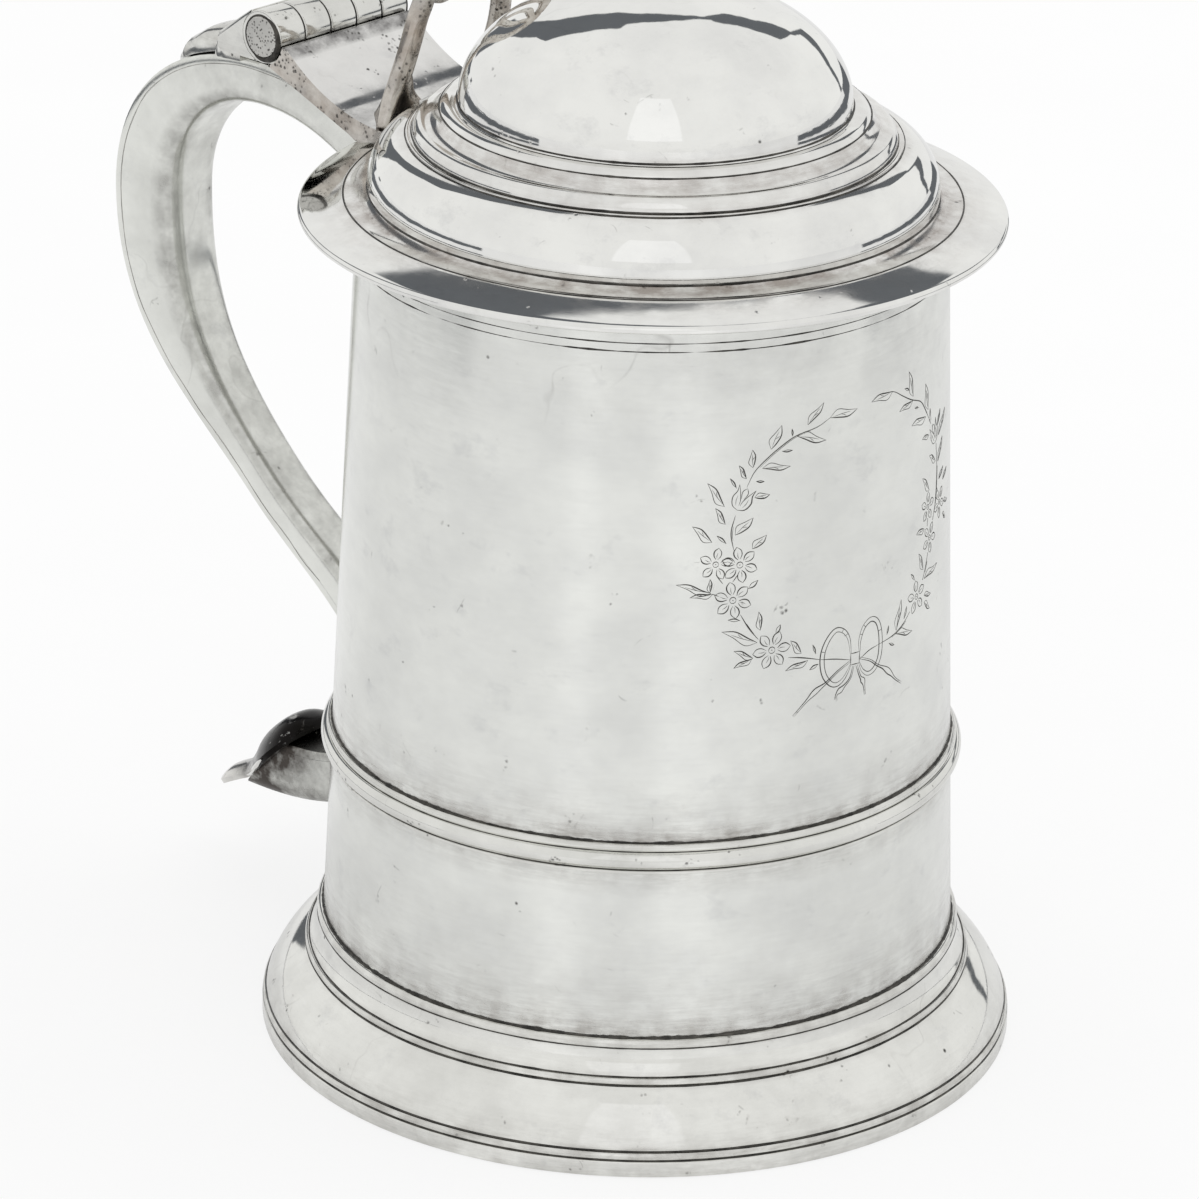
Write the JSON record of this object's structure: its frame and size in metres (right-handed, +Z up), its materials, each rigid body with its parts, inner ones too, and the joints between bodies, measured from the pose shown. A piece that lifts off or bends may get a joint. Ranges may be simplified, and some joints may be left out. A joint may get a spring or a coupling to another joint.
{
  "type": "lidded tankard",
  "caption": "Silver quart tankard with tapered barrel, girdle, spreading foot, hollow S-scroll handle, and a stepped domed lid on a knuckle hinge with openwork thumbpiece.",
  "frame": {"origin": "centre of the bounding box in plan, at the level of the table", "axes": "+Z up along the barrel; -X towards the handle; the hinge pin lies along Y"},
  "size_m": [0.1916, 0.132, 0.2027],
  "materials": {
    "wrought_silver": "hand-raised sterling silver sheet, polished, with fine scratches and faint tarnish",
    "drawn_silver": "drawn silver wire and tube, polished, dark in the grooves",
    "cast_silver": "cast silver, worn polish with brown tarnish in the hollows",
    "pitted_silver": "filed silver plug, grey and pitted"
  },
  "bodies": {
    "vessel": {"barrel": "wrought_silver", "base_plate": "wrought_silver", "girdle_band": "drawn_silver", "foot_moulding": "wrought_silver", "foot_rim_wire": "drawn_silver", "handle_channel": "wrought_silver", "handle_back": "wrought_silver", "handle_terminal": "cast_silver", "hinge_block": "cast_silver", "hinge_drop": "cast_silver", "knuckle_1": "drawn_silver", "knuckle_3": "drawn_silver", "knuckle_5": "drawn_silver", "hinge_pin": "drawn_silver", "pin_plug_near": "pitted_silver", "pin_plug_far": "pitted_silver"},
    "lid": {"lid_cover": "wrought_silver", "lid_bezel": "wrought_silver", "lid_hinge_plate": "cast_silver", "knuckle_2": "drawn_silver", "knuckle_4": "drawn_silver", "thumbpiece": "cast_silver"}
  },
  "joints": [
    {"name": "lid_hinge", "type": "hinge", "parent": "vessel", "child": "lid", "pos_m": [-0.0485, 0, 0.1648], "axis": [0, -1, 0], "range_deg": [0, 120]}
  ]
}
